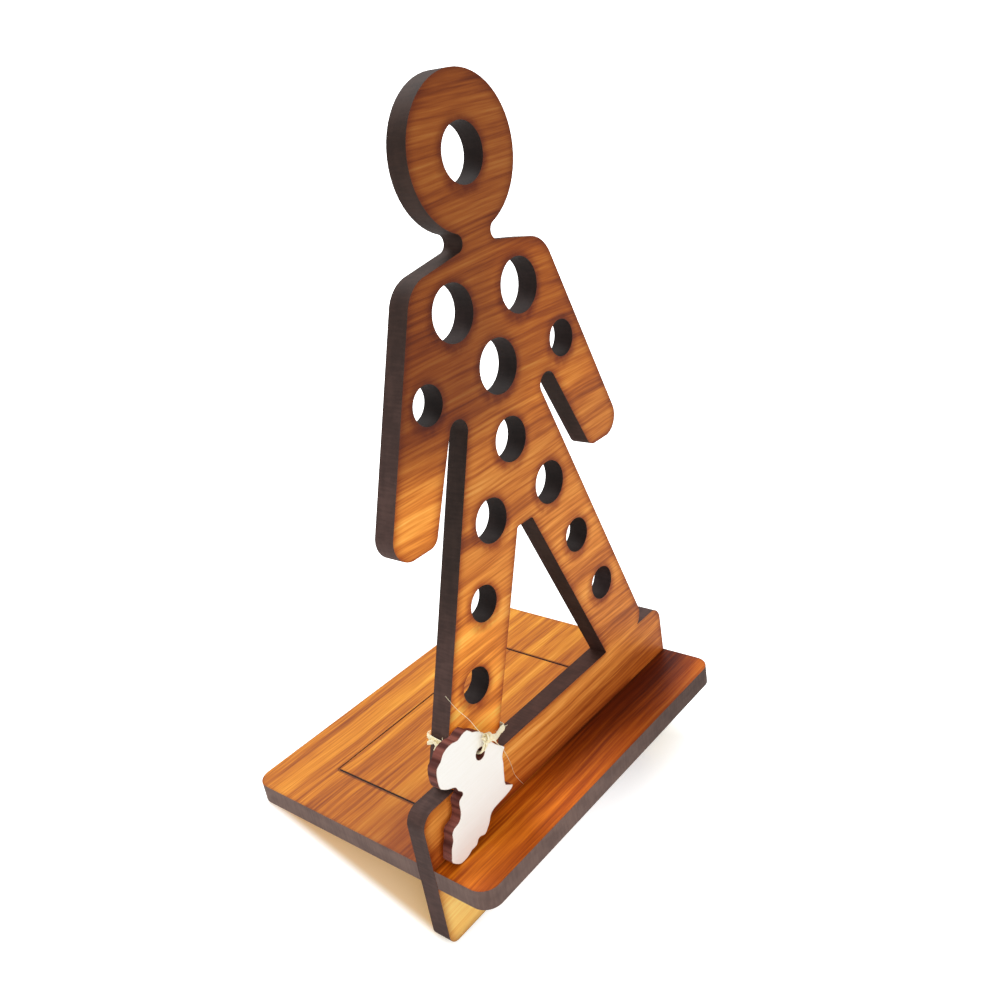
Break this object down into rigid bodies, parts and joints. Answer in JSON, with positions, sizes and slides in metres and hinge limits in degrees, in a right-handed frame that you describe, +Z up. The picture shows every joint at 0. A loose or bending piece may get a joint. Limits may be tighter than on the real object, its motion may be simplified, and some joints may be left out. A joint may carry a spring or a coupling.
{
  "type": "pen stand",
  "caption": "Desk pen stand: a flat wooden figure with round pen holes, slotted upright into the notched ends of a sloping wooden base, with a small tag tied round one leg.",
  "frame": {"origin": "on the surface that the stand rests on, under the middle of its outer box", "axes": "+Z up, +X to the right of someone who faces the figure's front, +Y to the rear, where the base slopes down to its rear edge"},
  "size_m": [0.112, 0.0884, 0.2019],
  "materials": {
    "base_wood": "oiled, with charred cut edges",
    "figure_wood": "oiled, with charred cut edges",
    "tag_wood": "pale face, with charred cut edges",
    "twine_fibre": "loose plant fibre"
  },
  "bodies": {
    "base": {"base_plate": "base_wood"},
    "figure": {"figure_panel": "figure_wood", "twine": "twine_fibre"},
    "tag": {"tag": "tag_wood"}
  },
  "joints": [
    {"name": "figure_lift", "type": "slide", "parent": "base", "child": "figure", "axis": [0, 0.286, 0.9582], "range_m": [0, 0.026]},
    {"name": "tag_swing", "type": "hinge", "parent": "figure", "child": "tag", "pos_m": [-0.03659, -0.0218, 0.05134], "axis": [0, 0.9582, -0.286], "range_deg": [0, 60]}
  ]
}
